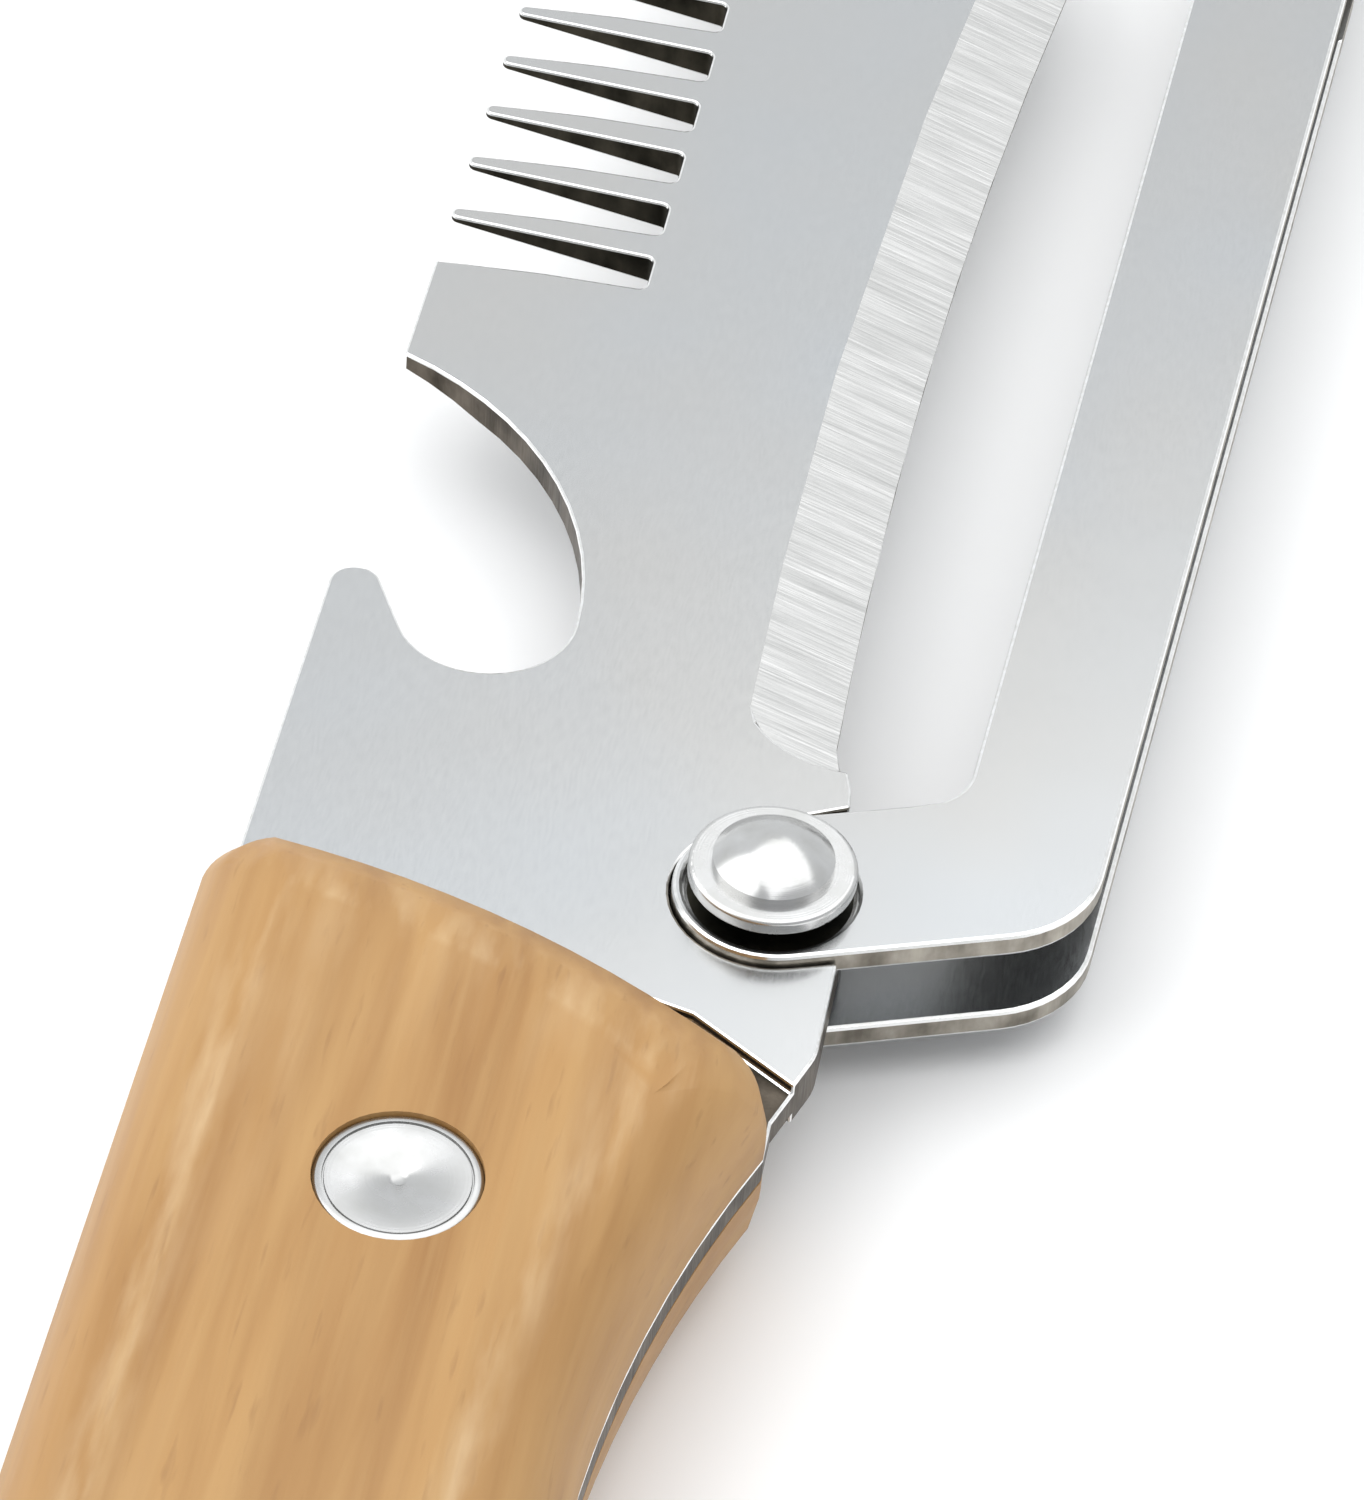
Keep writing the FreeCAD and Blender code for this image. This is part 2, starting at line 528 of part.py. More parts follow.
def make_plate():
    """Blade, comb, hook, heel and full-width tang, from one flat steel plate."""
    blank = new_body("plate_blank")
    throat = "-hook_throat - hook_radius"
    outline = grip_edge_side("0") + [
        ("grip_reach", "-grip_shoulder"),
        ("grip_reach", "-heel_drop - heel_chamfer"),
        ("heel_reach", "-heel_drop", "heel_round"),
        ("heel_reach", "-heel_top"),
        ("choil_reach", "choil_height", "choil_round"),
        (edge_x("edge_start"), "edge_start", None, "-edge_sweep"),
        (edge_x("edge_end"), "edge_end", None, "belly_radius"),
        (NOSE_X, NOSE_Y),
        ("-back_reach", f"{NOSE_Y} - nose_drop", "back_corner"),
        ("-back_reach",
         "hook_centre + sqrt(hook_sweep^2 - (hook_sweep - back_reach + hook_throat)^2)",
         None, "-hook_sweep"),
        ("-hook_throat", "hook_centre", None, "-hook_radius"),
        (throat, "hook_centre - hook_radius", None, "-hook_radius"),
        (f"{throat} - hook_radius * cos(hook_lean)",
         "hook_centre - hook_radius * sin(hook_lean)"),
        ("hook_tip_width - back_reach", "hook_tip_height", HOOK_TIP_RADIUS),
        ("-back_reach", "hook_tip_height", HOOK_TIP_RADIUS),
        ("-back_reach", "-grip_front"),
    ] + grip_back_side("0", "0")
    pad(blank, "plate", outline, "-plate_thickness", "0")

    # the back is ground thinner above the pivot: a wedge seen from the side
    def thinning(sketch):
        add_outline(sketch, [
            ("taper_start", "-plate_thickness"),
            ("taper_start", "-plate_thickness - overrun"),
            (f"{NOSE_Y} + overrun", "-plate_thickness - overrun"),
            (f"{NOSE_Y} + overrun", "-blade_thickness"),
            ("taper_end", "-blade_thickness"),
        ])
    cut_down(blank, "thinning", thinning, "2 * back_reach", "4 * back_reach", "YZ_Plane")
    thin_the_comb(blank)

    # the step down to the tang, on both faces
    def shoulder(sketch):
        add_outline(sketch, [
            ("heel_reach + overrun", "-grip_end - overrun"),
            ("heel_reach + overrun", "-step_low"),
            ("-step_turn_x", "-step_turn_y"),
            ("-grip_left", "-step_high"),
            ("-grip_left - overrun", "-step_high"),
            ("-grip_left - overrun", "-grip_end - overrun"),
        ])
    cut_down(blank, "front_step", shoulder, "0", "tang_step")
    cut_down(blank, "back_step", shoulder, "tang_step - plate_thickness", "tang_step")

    # the seat that the arm's front side lies in; its lower side is the open stop
    def seat(sketch):
        play = "(hub_radius + seat_gap)"
        open_slope = "bar_slope"
        closed_slope = "(bar_slope + close_angle + stop_play)"
        far = "(2 * hub_radius)"
        add_outline(sketch, [
            (f"{play} * sin({open_slope})", f"-{play} * cos({open_slope})"),
            (far, f"{far} * tan({open_slope}) - {play} / cos({open_slope})"),
            (far, f"{far} * tan({closed_slope}) + {play} / cos({closed_slope})"),
            (f"-{play} * sin({closed_slope})", f"{play} * cos({closed_slope})", None, play),
            (f"-{play} * cos({open_slope})", f"-{play} * sin({open_slope})", None, play),
        ])
    cut_down(blank, "seat", seat, "0", f"-({ARM_UNDER}) + running_gap")

    # the comb: one gap, then the row of them
    def gap(sketch):
        mouth = "(back_reach + overrun)"
        add_outline(sketch, [
            ("-comb_root", "comb_foot", "comb_gap_round"),
            ("-comb_root", "comb_foot + comb_gap", "comb_gap_round"),
            (f"-{mouth}", f"comb_foot + comb_gap + tooth_rise * ({mouth} - comb_root)"),
            (f"-{mouth}", f"comb_foot - tooth_fall * ({mouth} - comb_root - tooth_straight)"),
            ("-comb_root - tooth_straight", "comb_foot"),
        ])
    first_gap = cut_down(blank, "comb_gap", gap, "overrun", "plate_thickness + 2 * overrun")
    row = blank.newObject("PartDesign::LinearPattern", "plate_blank_comb")
    row.Originals = [first_gap]
    row.Direction = (first_gap.Profile[0], ["V_Axis"])
    row.setExpression("Length", bound("comb_pitch * (comb_gaps - 1)"))
    row.setExpression("Occurrences", bound("comb_gaps"))
    blank.Tip = row
    doc.recompute()

    low = value("comb_foot + 1")
    high = value("comb_foot + comb_pitch * (comb_gaps - 1) + comb_gap / 2")

    def at_tooth_tip(edge):
        box = edge.BoundBox
        upright = box.XLength < 1e-4 and box.YLength < 1e-4
        return upright and abs(box.XMin + value("back_reach")) < 1e-3 and low < box.YMin < high
    round_edges(blank, "tooth_tips", edges_where(blank.Shape, at_tooth_tip), "tooth_round")

    # holes for the pivot and the grip's rivets
    def holes(sketch):
        add_circle(sketch, "0", "0", "pivot_radius")
        for _, y in RIVET_PLACES:
            add_circle(sketch, "-rivet_x", y, "rivet_stem + running_gap")
    cut_down(blank, "holes", holes, "overrun", "plate_thickness + 2 * overrun")

    # the ground bevel follows the hollow edge, and past it the belly
    behind = "(belly_radius - grind_width - 2 * grind_margin)"
    beyond = "(belly_radius + 2 * overrun)"
    hollow = make_grind("hollow_grind", "edge_reach", "edge_waist", "edge_reach + edge_sweep", [
        ("choil_reach + overrun", "grind_foot"),
        (f"{BELLY_X} + {beyond} * cos({BELLY_TURN})", f"{BELLY_Y} - {beyond} * sin({BELLY_TURN})"),
        (f"{BELLY_X} + {behind} * cos({BELLY_TURN})", f"{BELLY_Y} - {behind} * sin({BELLY_TURN})"),
        ("edge_reach - grind_width - grind_margin", "edge_waist"),
        ("edge_reach - grind_width - runout_inset", "grind_foot + runout_rise", None,
         "grind_runout"),
        ("choil_reach - runout_start", "grind_foot"),
    ])
    belly = make_grind("belly_grind", f"{BELLY_X} + belly_radius", BELLY_Y, BELLY_X, [
        (BELLY_X, BELLY_Y),
        (f"{BELLY_X} + 3 * belly_radius * cos({BELLY_TURN})",
         f"{BELLY_Y} - 3 * belly_radius * sin({BELLY_TURN})"),
        (f"{BELLY_X} + 3 * belly_radius", f"{BELLY_Y} + 3 * belly_radius"),
        (f"{BELLY_X} - belly_radius / 2", f"{BELLY_Y} + 3 * belly_radius"),
    ])
    hollowed = cut_away("hollowed_plate", blank, hollow)
    return put(cut_away("blade_plate", hollowed, belly))


# ---------------------------------------------------------------- the wooden scales
# The round-over is a quarter of an ellipse, drawn with straight steps between these turns.
ROUND_OVER_TURNS = (0, 22, 44, 66, 90)


def scale_outline(side, front):
    """A scale's outline, drawn in by `side` along its sides and by `front` at its front."""
    drawn = f"(({side}) / side_fall)"
    return grip_edge_side(side) + [
        (f"grip_reach - ({side})", f"-grip_shoulder - ({front}) / 2", None,
         f"front_round + ({side}) / 2"),
        (f"grip_reach - front_cross - ({side}) / 2", f"-grip_shoulder + front_run - ({front})",
         None, f"front_bow - ({front})"),
        (f"-grip_left + back_cross + ({side}) / 2", f"-grip_front - ({front})", None,
         f"back_round + (corner_left - back_round) * {drawn} / 2"),
    ] + grip_back_side(side, front)


def make_scale(name, inner, outer, front_fall, cut_top):
    """One scale between two heights, rounded over outside and bored for the rivets."""
    body = new_body(name)
    outwards = value(outer) > value(inner)
    high = outer if outwards else inner
    sign = "1" if outwards else "-1"
    sections = [("XY_Plane", inner, scale_outline("0", "0"))]
    for turn in ROUND_OVER_TURNS:
        rise = f"(scale_land + (scale_thickness - scale_land) * sin({turn}))"
        drawn = f"(1 - cos({turn}))"
        sections.append(("XY_Plane", f"{inner} + {sign} * {rise}",
                         scale_outline(f"side_fall * {drawn}", f"{front_fall} * {drawn}")))
    loft(body, "blank", sections, True)

    def heads(sketch):
        for _, y in RIVET_PLACES:
            add_circle(sketch, "-rivet_x", y, "rivet_head")
    cut_down(body, "counterbores", heads, cut_top, "rivet_sink + rivet_head_thickness")

    def stems(sketch):
        for _, y in RIVET_PLACES:
            add_circle(sketch, "-rivet_x", y, "rivet_stem")
    cut_down(body, "bores", stems, f"{high} + overrun", "scale_thickness + 2 * overrun")
    return put(body)


# ---------------------------------------------------------------- the grip's rivets
def make_rivet(place, y):
    """A two-piece rivet: a hollow sleeve from the front and a post pressed into it."""
    top = f"{GRIP_FRONT} - rivet_sink"
    bottom = f"{GRIP_BACK} + rivet_sink"
    head_foot = f"{top} - rivet_head_thickness"
    head_top = f"{bottom} + rivet_head_thickness"
    sleeve = turned(f"{place}_rivet_sleeve", [
        ("0", top),
        ("0", head_foot),
        ("rivet_core", head_foot),
        ("rivet_core", f"{head_top} + rivet_room"),
        ("rivet_stem", f"{head_top} + rivet_room"),
        ("rivet_stem", head_foot),
        ("rivet_head", head_foot),
        ("rivet_head", f"{top} - rivet_bevel"),
        ("rivet_head - rivet_bevel", top),
    ], "-rivet_x", y)
    post = turned(f"{place}_rivet_post", [
        ("0", bottom),
        ("rivet_head - rivet_bevel", bottom),
        ("rivet_head", f"{bottom} + rivet_bevel"),
        ("rivet_head", head_top),
        ("rivet_core", head_top),
        ("rivet_core", f"{head_foot} - rivet_room / 2"),
        ("0", f"{head_foot} - rivet_room / 2"),
    ], "-rivet_x", y)
    return [sleeve, post]


# ---------------------------------------------------------------- the pivot
def ring(name, inner, outer, foot, top, rounding=None):
    """A flat ring about the pivot's axis."""
    return turned(name, [
        (inner, foot),
        (outer, foot, rounding),
        (outer, top, rounding),
        (inner, top),
    ])


def cap_radius(radius, height):
    """Radius of the sphere whose cap has this radius and height."""
    return f"(({radius})^2 + ({height})^2) / (2 * ({height}))"


def make_pivot():
    """The rivet, its washers, the collar that carries the front one, and the spacer."""
    rivet = turned("pivot_rivet", [
        ("0", f"{HEAD_FOOT} + head_height", None,
         f"-({cap_radius('head_radius', 'head_height - head_rim')})"),
        ("head_radius", f"{HEAD_FOOT} + head_rim"),
        ("head_radius", HEAD_FOOT),
        ("pivot_radius", HEAD_FOOT),
        ("pivot_radius", REAR_WASHER_FOOT),
        ("tail_radius", REAR_WASHER_FOOT),
        ("tail_radius", f"{REAR_WASHER_FOOT} - tail_rim", None,
         f"-({cap_radius('tail_radius', 'tail_height - tail_rim')})"),
        ("0", f"{REAR_WASHER_FOOT} - tail_height"),
    ])
    return [
        rivet,
        ring("front_washer", "pivot_radius", "washer_radius", WASHER_FOOT, HEAD_FOOT,
             "washer_round"),
        ring("front_collar", "pivot_radius", "collar_radius", COLLAR_FOOT, WASHER_FOOT),
        ring("rear_spacer", "pivot_radius", "spacer_radius", f"{REAR_INNER} + running_gap",
             "-plate_thickness"),
        ring("rear_washer", "pivot_radius", "washer_radius", REAR_WASHER_FOOT, REAR_WASHER_TOP,
             "washer_round"),
    ]


# ---------------------------------------------------------------- the arm
def make_arm():
    """Two flat sides round the pivot, joined by a fold that ends in the hoof pick."""
    side_outline = [
        ("hub_radius * sin(bar_slope)", "-hub_radius * cos(bar_slope)"),
        ("limb_reach", bar_y("limb_reach", -1), "bar_corner"),
        (limb_x(FOLD_START), FOLD_START),
        (window_x(FOLD_START), FOLD_START),
        ("window_reach", bar_y("window_reach", 1), "window_corner"),
        ("-hub_radius * sin(bar_slope)", "hub_radius * cos(bar_slope)", None, "hub_radius"),
        ("-hub_radius * cos(bar_slope)", "-hub_radius * sin(bar_slope)", None, "hub_radius"),
    ]

    def bore(sketch):
        add_circle(sketch, "0", "0", "pivot_radius + running_gap")

    def recess(sketch):
        add_circle(sketch, "0", "0", "hub_recess")

    front = new_body("arm_front_side")
    pad(front, "side", side_outline, ARM_UNDER, ARM_FRONT)
    cut_down(front, "recess", recess, ARM_FRONT, "hub_recess_depth")
    cut_down(front, "bore", bore, f"{ARM_FRONT} + arm_thickness", "3 * arm_thickness")
    rear = new_body("arm_rear_side")
    pad(rear, "side", side_outline, REAR_OUTER, REAR_INNER)
    cut_down(rear, "bore", bore, f"{REAR_INNER} + arm_thickness", "3 * arm_thickness")

    fold = new_body("arm_fold")
    pad(fold, "block", [
        (limb_x(FOLD_START), FOLD_START),
        (limb_x(ARM_HEIGHT), ARM_HEIGHT, "pick_round"),
        ("pick_tip", TIP_TOP, "pick_tip_round"),
        ("pick_tip", TIP_UNDER, "pick_tip_round"),
        (window_x(PICK_UNDER), PICK_UNDER, "pick_throat"),
        (window_x(FOLD_START), FOLD_START),
    ], REAR_OUTER, ARM_FRONT)
    faces = (value(ARM_FRONT), value(REAR_OUTER))

    def on_the_fold(edge):
        box = edge.BoundBox
        on_a_face = box.ZLength < 1e-4 and min(abs(box.ZMin - face) for face in faces) < 1e-4
        crosswise = box.YLength < 1e-4
        middle = edge.valueAt((edge.FirstParameter + edge.LastParameter) / 2)
        limb_side = middle.x > value(f"{limb_x(str(middle.y))} - pick_round / 2")
        top_side = middle.y > value(TIP_TOP)
        return on_a_face and not crosswise and (limb_side or top_side)
    round_edges(fold, "rounding", edges_where(fold.Shape, on_the_fold), "fold_round")

    # the channel between the two sides, open towards the knife edge
    def channel(sketch):
        add_outline(sketch, [
            (f"{limb_x(FOLD_START)} - arm_thickness", f"{FOLD_START} - overrun"),
            (f"{limb_x(ARM_HEIGHT)} - arm_thickness", f"{ARM_HEIGHT} - arm_thickness",
             "pick_round - arm_thickness"),
            ("pick_tip + 2 * arm_thickness", f"{TIP_TOP} - arm_thickness"),
            ("pick_tip + 2 * arm_thickness", f"{PICK_UNDER} - overrun"),
            (f"{window_x(PICK_UNDER)} - overrun", f"{FOLD_START} - overrun"),
        ])
    cut_down(fold, "channel", channel, ARM_UNDER, "arm_gap")

    arm = doc.addObject("Part::MultiFuse", "pick_arm")
    arm.Label = "pick_arm"
    arm.Shapes = [front, rear, fold]
    return put(arm)


# ---------------------------------------------------------------- the whole tool
nodes = [make_plate(), make_arm()]
nodes.append(make_scale("front_scale", TANG_FRONT, GRIP_FRONT, "front_fall", GRIP_FRONT))
nodes.append(make_scale("rear_scale", TANG_BACK, GRIP_BACK, "rear_front_fall",
                        f"{GRIP_BACK} + rivet_sink + rivet_head_thickness"))
for place, y in RIVET_PLACES:
    nodes.extend(make_rivet(place, y))
nodes.extend(make_pivot())
doc.recompute()

for item in doc.Objects:
    if "Invalid" in item.State or "Error" in item.State:
        raise RuntimeError(f"{item.Name} failed: {item.State}")

os.makedirs("parts", exist_ok=True)
for node in nodes:
    if node.Shape.isNull() or not node.Shape.isValid():
        raise RuntimeError(f"{node.Label} has no valid shape")
    node.Shape.exportStep(f"parts/{node.Label}.step")
    print(f"{node.Label:22s} {len(node.Shape.Solids)} solid  {node.Shape.Volume:9.1f} mm3")
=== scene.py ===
# %% [markdown]
# # A stable multi-tool in steel and wood
# This lesson dresses a multi-tool for the stable: a knife, a mane comb, a rounded hook and a
# folded arm that ends in a blunt hoof pick, on a wooden grip. Its exact solids are loaded
# first, and they stay where they are. Each piece that needs more than its solid gives is
# then made again here, in the same place, with the small things a maker's hand leaves:
# broken edges, grinding lines and grain. Everything is in metres.

# %% Load the solids
import math

import bpy
from mathutils import Matrix, Vector


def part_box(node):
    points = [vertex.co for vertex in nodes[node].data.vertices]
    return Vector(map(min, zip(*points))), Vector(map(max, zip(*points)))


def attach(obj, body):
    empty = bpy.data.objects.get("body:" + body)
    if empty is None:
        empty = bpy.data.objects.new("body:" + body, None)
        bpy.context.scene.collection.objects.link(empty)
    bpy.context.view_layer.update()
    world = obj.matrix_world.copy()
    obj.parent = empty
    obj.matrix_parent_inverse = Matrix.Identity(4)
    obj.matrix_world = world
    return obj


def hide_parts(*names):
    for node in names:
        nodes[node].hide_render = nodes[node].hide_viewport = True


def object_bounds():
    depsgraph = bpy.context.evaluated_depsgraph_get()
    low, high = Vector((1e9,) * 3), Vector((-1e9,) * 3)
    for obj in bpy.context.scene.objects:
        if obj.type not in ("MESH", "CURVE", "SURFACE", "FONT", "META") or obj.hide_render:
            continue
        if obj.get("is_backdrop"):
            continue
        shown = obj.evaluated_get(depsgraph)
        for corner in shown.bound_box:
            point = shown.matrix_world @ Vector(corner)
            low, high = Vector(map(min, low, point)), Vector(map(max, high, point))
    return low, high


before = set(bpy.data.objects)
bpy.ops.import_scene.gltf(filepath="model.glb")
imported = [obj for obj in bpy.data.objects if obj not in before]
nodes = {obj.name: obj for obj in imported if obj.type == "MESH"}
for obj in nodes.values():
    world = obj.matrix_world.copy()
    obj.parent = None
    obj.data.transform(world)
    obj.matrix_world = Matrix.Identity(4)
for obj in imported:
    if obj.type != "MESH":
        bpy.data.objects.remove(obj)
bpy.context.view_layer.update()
MM = 0.001

# %% [markdown]
# ## Where the camera stands
# The tool is seen from close by and from in front, over the grip, with the camera rolled
# a little to the left. A long lens keeps the sides nearly parallel. A camera's matrix has
# its right side, its top and its back as columns, so the view is set from those directions.

# %% The camera
CAMERA_PLACE = Vector((17.52, -167.47, 175.68)) * MM
lens = bpy.data.cameras.new("camera")
lens.lens = 144
lens.sensor_width = 36
camera = bpy.data.objects.new("camera", lens)
bpy.context.collection.objects.link(camera)
to_right = Vector((0.983, 0.1725, 0.0628)).normalized()
forward = Vector((-0.0842, 0.7276, -0.6808))
to_back = -(forward - forward.project(to_right)).normalized()
to_top = to_back.cross(to_right)
camera.matrix_world = Matrix((
    (to_right.x, to_top.x, to_back.x, CAMERA_PLACE.x),
    (to_right.y, to_top.y, to_back.y, CAMERA_PLACE.y),
    (to_right.z, to_top.z, to_back.z, CAMERA_PLACE.z),
    (0, 0, 0, 1),
))
lens.clip_start = 0.01
lens.clip_end = 5
bpy.context.scene.camera = camera

# %% [markdown]
# ## The table and the light
# Polished steel shows the room and not itself, so the room comes first. The table is white,
# wide and round, and it is the lower half of what the steel reflects.

# %% The table
def only(*objects):
    """Leaves object mode with just these objects selected, the first one active."""
    if bpy.context.object and bpy.context.object.mode != "OBJECT":
        bpy.ops.object.mode_set(mode="OBJECT")
    bpy.ops.object.select_all(action="DESELECT")
    for thing in objects:
        thing.select_set(True)
    bpy.context.view_layer.objects.active = objects[0] if objects else None


def add(material, kind, inputs=None, **settings):
    """A new shader node with its settings, and each input either linked or given a value."""
    made = material.node_tree.nodes.new(kind)
    for name, setting in settings.items():
        setattr(made, name, setting)
    for name, source in (inputs or {}).items():
        if isinstance(source, bpy.types.NodeSocket):
            material.node_tree.links.new(source, made.inputs[name])
        else:
            made.inputs[name].default_value = source
    return made


only()
bpy.ops.mesh.primitive_circle_add(vertices=96, radius=1.4, fill_type="NGON")
table = bpy.context.object
table.name = "table"
table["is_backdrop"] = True
white = bpy.data.materials.new("table_white")
white.use_nodes = True
shell = white.node_tree.nodes["Principled BSDF"]
shell.inputs["Base Color"].default_value = (0.93, 0.93, 0.93, 1)
shell.inputs["Roughness"].default_value = 0.9
shell.inputs["Specular IOR Level"].default_value = 0.1
table.data.materials.append(white)
print("table", table.dimensions.x, "m across")

# %% [markdown]
# ## The sky
# The rest of the room is a soft sky, bright ahead and dim behind the camera. Its brightness
# follows the direction that a ray leaves in, so that every flat face gets a soft gradient.

# %% The room's soft sky
sky = bpy.data.worlds.new("studio")
bpy.context.scene.world = sky
sky.use_nodes = True
room = sky.node_tree.nodes["Background"]
place = add(sky, "ShaderNodeTexCoord")
apart = add(sky, "ShaderNodeSeparateXYZ", {"Vector": place.outputs["Generated"]})
ahead = add(sky, "ShaderNodeMapRange", {
    "Value": apart.outputs["Y"], "From Min": -0.9, "From Max": 0.7, "To Min": 0.55, "To Max": 1.0})
sideways = add(sky, "ShaderNodeMapRange", {
    "Value": apart.outputs["X"], "From Min": -0.6, "From Max": 0.6, "To Min": 1.04, "To Max": 0.94})
both = add(sky, "ShaderNodeMath", {0: ahead.outputs[0], 1: sideways.outputs[0]},
           operation="MULTIPLY")
sky.node_tree.links.new(both.outputs[0], room.inputs["Strength"])
room.inputs["Color"].default_value = (0.965, 0.985, 1, 1)
bpy.context.scene.view_settings.view_transform = "Standard"
print("room:", sky.name, "view:", bpy.context.scene.view_settings.view_transform)

# %% [markdown]
# ## The lamps
# Two broad lamps, one on the left and one overhead, give the wood its shape. Because they
# are broad, they leave wide, soft highlights on the rivets and no hard shadows.


# %% The lamps
def lamp(name, place, aim, size, power):
    """A large square lamp that faces a point."""
    light = bpy.data.lights.new(name, "AREA")
    light.size = size
    light.energy = power
    holder = bpy.data.objects.new(name, light)
    bpy.context.collection.objects.link(holder)
    holder.location = place
    holder.rotation_euler = (Vector(aim) - Vector(place)).to_track_quat("-Z", "Y").to_euler()
    return holder


lamp("left_window", (-0.55, -0.15, 0.5), (0, 0, 0), 0.8, 3.2)
lamp("top_panel", (0.1, 0.1, 0.8), (0, 0, 0), 1.1, 4.5)

# %% [markdown]
# ## Patterns that every finish uses
# A pattern follows the piece because it reads the piece's own Object coordinates. Drawn out
# along one axis, a noise becomes wood grain or grinding lines. These helpers make the few
# nodes that each finish then mixes in its own way.


# %% Pattern helpers
def new_material(name):
    """A material with nodes, and its shader."""
    material = bpy.data.materials.new(name)
    material.use_nodes = True
    return material, material.node_tree.nodes["Principled BSDF"]


def noise(material, scale, stretch=(1, 1, 1), detail=3.0, distortion=0.0, centre=(0, 0, 0),
          turn=0.0):
    """A noise in the piece's own coordinates, `scale` features a metre, drawn out by `stretch`."""
    where = add(material, "ShaderNodeTexCoord").outputs["Object"]
    drawn = add(material, "ShaderNodeMapping", {
        "Vector": where, "Location": centre, "Rotation": (0, 0, turn),
        "Scale": tuple(scale / s for s in stretch)})
    return add(material, "ShaderNodeTexNoise", {
        "Vector": drawn.outputs[0], "Scale": 1.0, "Detail": detail, "Distortion": distortion,
    }).outputs["Fac"]


def between(material, factor, from_low, from_high, low=0.0, high=1.0):
    """The factor moved from one range to another, and kept within it."""
    return add(material, "ShaderNodeMapRange", {
        "Value": factor, "From Min": from_low, "From Max": from_high,
        "To Min": low, "To Max": high}).outputs[0]


def mixed(material, factor, first, second):
    """Two colours mixed by a factor."""
    made = add(material, "ShaderNodeMix", data_type="RGBA")
    sockets = [s for s in made.inputs if s.type == "RGBA"]
    for socket, source in ((made.inputs[0], factor), (sockets[0], first), (sockets[1], second)):
        if isinstance(source, bpy.types.NodeSocket):
            material.node_tree.links.new(source, socket)
        else:
            socket.default_value = source
    return [s for s in made.outputs if s.type == "RGBA"][0]


def calculate(material, how, first, second):
    """Two numbers added, multiplied or otherwise combined."""
    return add(material, "ShaderNodeMath", {0: first, 1: second}, operation=how).outputs[0]


def raised(material, height, distance, strength=1.0):
    """A bump from a height pattern, `distance` metres from its lowest to its highest."""
    return add(material, "ShaderNodeBump", {
        "Height": height, "Distance": distance, "Strength": strength}).outputs[0]


def wire(material, source, socket):
    """Links an output to a socket."""
    material.node_tree.links.new(source, socket)


print("helpers:", [helper.__name__ for helper in (noise, between, mixed, calculate, raised, wire)])


# %% [markdown]
# ## Rolled and polished steel
# The plate and the arm are stainless sheet, polished to a satin. It mirrors the room
# softly, with faint warm and cool patches and a very slight waviness left by rolling. Metal
# has no colour of its own besides its reflection, so Metallic is 1 and the base colour says
# how much light comes back. The waviness is a bump of a few thousandths of a millimetre.


# %% Satin steel
def satin_steel(name, bright):
    """Polished sheet: soft patches of tint, a rolled surface and a very fine grain."""
    material, shader = new_material(name)
    patches = noise(material, 55, detail=2)
    tint = mixed(material, between(material, patches, 0.35, 0.65),
                 (bright * 0.975, bright * 1.0, bright * 1.02, 1),
                 (bright * 1.005, bright * 1.0, bright * 0.985, 1))
    wire(material, tint, shader.inputs["Base Color"])
    fine = noise(material, 9000, stretch=(1, 6, 1), detail=2)
    wire(material, between(material, fine, 0.3, 0.7, 0.2, 0.26), shader.inputs["Roughness"])
    waves = noise(material, 120, detail=1)
    wire(material, raised(material, waves, 0.02 * MM), shader.inputs["Normal"])
    shader.inputs["Metallic"].default_value = 1
    return material


plate_satin = satin_steel("plate_satin", 0.54)
arm_satin = satin_steel("arm_satin", 0.52)
print("satin:", plate_satin.name, arm_satin.name)


# %% [markdown]
# ## The cut wall
# The sheet's rim is left as the cutter leaves it: slightly brown, scored across its thickness,
# and rougher than the polished face. Its dark tone is partly painted shade, since the walls
# would otherwise mirror the bright table. Between the teeth of the comb it is nearly black,
# which is painted shade in the narrow gaps.


# %% Cut walls
def cut_wall(name, dark, light, scale=700):
    """The rim of the sheet: brown-grey, with scores through its thickness."""
    material, shader = new_material(name)
    blotches = noise(material, scale, stretch=(1, 1, 1.5), detail=4)
    wire(material, mixed(material, between(material, blotches, 0.32, 0.68), dark, light),
         shader.inputs["Base Color"])
    scores = noise(material, 7000, stretch=(1, 1, 14), detail=2)
    wire(material, between(material, scores, 0.3, 0.7, 0.34, 0.5), shader.inputs["Roughness"])
    wire(material, raised(material, scores, 0.01 * MM), shader.inputs["Normal"])
    shader.inputs["Metallic"].default_value = 1
    return material


# The plate's walls: a dark tone that is partly painted shade.
plate_wall = cut_wall("plate_wall", (0.045, 0.037, 0.028, 1), (0.13, 0.11, 0.088, 1))
# Painted shade: the nearly black walls between the comb's teeth.
comb_shade_wall = cut_wall("comb_shade_wall", (0.012, 0.011, 0.008, 1), (0.045, 0.04, 0.03, 1))
arm_wall = cut_wall("arm_wall", (0.16, 0.145, 0.12, 1), (0.42, 0.39, 0.34, 1))
# Painted shade: the nearly black floor of the recess under the arm's washer.
arm_recess_shade = cut_wall("arm_recess_shade", (0.012, 0.012, 0.01, 1), (0.06, 0.055, 0.04, 1), 350)
